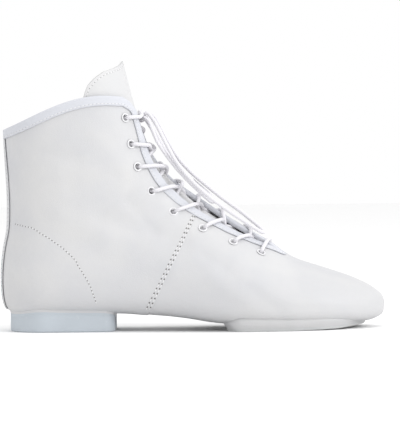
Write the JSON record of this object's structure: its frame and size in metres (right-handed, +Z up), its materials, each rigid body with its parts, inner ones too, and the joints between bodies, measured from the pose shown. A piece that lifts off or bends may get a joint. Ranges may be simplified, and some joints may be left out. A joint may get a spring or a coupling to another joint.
{
  "type": "jazz boot",
  "caption": "White leather lace-up jazz boot for the right foot, ankle high, with a split sole of low heel block and thin forefoot pad.",
  "frame": {"origin": "on the floor, at the centre of the heel block's flat underside", "axes": "+X towards the toe, +Y towards the inner (medial) side of the right foot, +Z up"},
  "size_m": [0.2517, 0.0892, 0.1744],
  "materials": {
    "leather": "soft white grain leather, satin",
    "lining": "pale sock lining",
    "sole_rubber": "matt pale grey rubber",
    "eyelet": "white enamelled brass",
    "tape": "white woven cotton tape",
    "lace": "white braided round cord"
  },
  "bodies": {
    "root": {"upper": "leather", "tongue": "leather", "insole": "lining", "heel": "sole_rubber", "forefoot_sole": "sole_rubber", "eyelet_lateral_1": "eyelet", "eyelet_lateral_2": "eyelet", "eyelet_lateral_3": "eyelet", "eyelet_lateral_4": "eyelet", "eyelet_lateral_5": "eyelet", "eyelet_lateral_6": "eyelet", "eyelet_lateral_7": "eyelet", "eyelet_lateral_8": "eyelet", "eyelet_medial_1": "eyelet", "eyelet_medial_2": "eyelet", "eyelet_medial_3": "eyelet", "eyelet_medial_4": "eyelet", "eyelet_medial_5": "eyelet", "eyelet_medial_6": "eyelet", "eyelet_medial_7": "eyelet", "eyelet_medial_8": "eyelet", "collar_binding": "tape", "back_strip": "leather", "lace_crossing_1": "lace", "lace_crossing_2": "lace", "lace_crossing_3": "lace", "lace_crossing_4": "lace", "lace_crossing_5": "lace", "lace_crossing_6": "lace", "lace_crossing_7": "lace", "lace_bar": "lace", "lace_tie_lateral": "lace", "lace_tie_medial": "lace", "lace_knot": "lace", "lace_loop_long": "lace", "lace_loop_short": "lace", "lace_end_long": "lace", "lace_end_short": "lace"}
  },
  "joints": []
}
